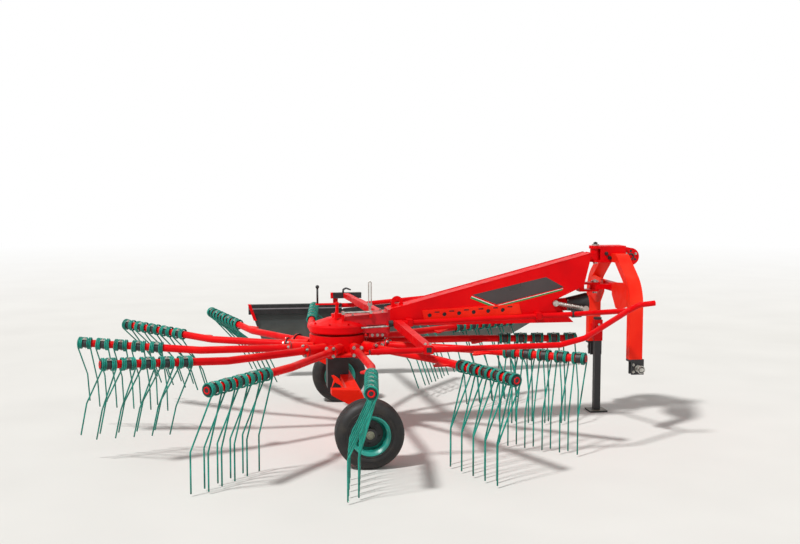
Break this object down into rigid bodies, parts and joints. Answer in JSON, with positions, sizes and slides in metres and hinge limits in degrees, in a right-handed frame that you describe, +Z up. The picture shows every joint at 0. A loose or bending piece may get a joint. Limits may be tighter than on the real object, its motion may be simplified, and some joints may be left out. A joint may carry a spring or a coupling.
{
  "type": "rotary rake",
  "caption": "Single-rotor hay rake for a three-point linkage, with tine arms, swivelling headstock, folding guard and swath curtain.",
  "frame": {"origin": "on the floor under the middle of the whole machine's outline", "axes": "+X the way of travel, +Y the machine's left, +Z up"},
  "size_m": [3.7632, 3.5975, 1.24],
  "materials": {
    "red_paint": "gloss",
    "teal_paint": "satin",
    "dark_paint": "satin",
    "zinc": "satin",
    "tyre": "matte",
    "cloth": "matte",
    "black_plastic": "matte"
  },
  "bodies": {
    "chassis": {"boom": "red_paint", "arm_racks": "red_paint", "gear_housing": "red_paint", "cam_housing": "red_paint", "centre_column": "dark_paint", "axle_beam": "red_paint", "stub_axle_left": "red_paint", "stub_axle_right": "red_paint", "height_crank": "red_paint", "lock_handle": "zinc", "lift_eye": "red_paint", "cross_beam": "red_paint", "guard_bowl": "black_plastic", "stabilisers": "zinc", "hinge_clamps": "dark_paint"},
    "rotor": {"rotor_hub": "red_paint", "tine_arms": "red_paint", "tines_01": "teal_paint", "tines_02": "teal_paint", "tines_03": "teal_paint", "tines_04": "teal_paint", "tines_05": "teal_paint", "tines_06": "teal_paint", "tines_07": "teal_paint", "tines_08": "teal_paint", "tines_09": "teal_paint", "tines_10": "teal_paint", "tines_11": "teal_paint", "tines_12": "teal_paint"},
    "input_shaft": {"drive_shaft": "zinc"},
    "wheel_left": {"tyre_left": "tyre", "rim_left": "teal_paint"},
    "wheel_right": {"tyre_right": "tyre", "rim_right": "teal_paint"},
    "headstock": {"headstock_frame": "red_paint", "headstock_top_box": "red_paint", "headstock_crosshead": "red_paint", "headstock_gussets": "red_paint", "swivel_pins": "zinc", "hitch_bracket_left": "dark_paint", "hitch_bracket_right": "dark_paint", "hitch_pins": "zinc", "stand_sleeve": "red_paint"},
    "parking_stand": {"stand_leg": "dark_paint"},
    "curtain": {"curtain_arm": "dark_paint", "curtain_rail": "dark_paint", "curtain_cloth": "cloth"},
    "guard": {"side_guard": "red_paint"}
  },
  "joints": [
    {"name": "rotor_spin", "type": "hinge", "parent": "chassis", "child": "rotor", "pos_m": [-0.2085, -0.1255, 0.585], "axis": [0, 0, 1], "continuous": true},
    {"name": "input_shaft_spin", "type": "hinge", "parent": "chassis", "child": "input_shaft", "pos_m": [0.7915, -0.1255, 0.78979], "axis": [0.9979, 0, 0.064], "continuous": true},
    {"name": "wheel_left_spin", "type": "hinge", "parent": "chassis", "child": "wheel_left", "pos_m": [-0.1085, 0.8245, 0.203], "axis": [0, 1, 0], "continuous": true},
    {"name": "wheel_right_spin", "type": "hinge", "parent": "chassis", "child": "wheel_right", "pos_m": [-0.1085, -1.0755, 0.203], "axis": [0, 1, 0], "continuous": true},
    {"name": "headstock_swivel", "type": "hinge", "parent": "chassis", "child": "headstock", "pos_m": [1.5815, -0.1255, 1], "axis": [0, 0, 1], "range_deg": [-15, 15]},
    {"name": "stand_slide", "type": "slide", "parent": "headstock", "child": "parking_stand", "axis": [0, 0, 1], "range_m": [0, 0.22]},
    {"name": "curtain_slide", "type": "slide", "parent": "chassis", "child": "curtain", "axis": [-0.0661, 0.9977, -0.0165], "range_m": [-0.1, 0.35]},
    {"name": "guard_fold", "type": "hinge", "parent": "chassis", "child": "guard", "pos_m": [0.1345, -0.2605, 0.734], "axis": [-0.9995, 0, -0.0317], "range_deg": [0, 75]}
  ],
  "couplings": [
    {"joint": "input_shaft_spin", "follows": "rotor_spin", "ratio": 8}
  ]
}
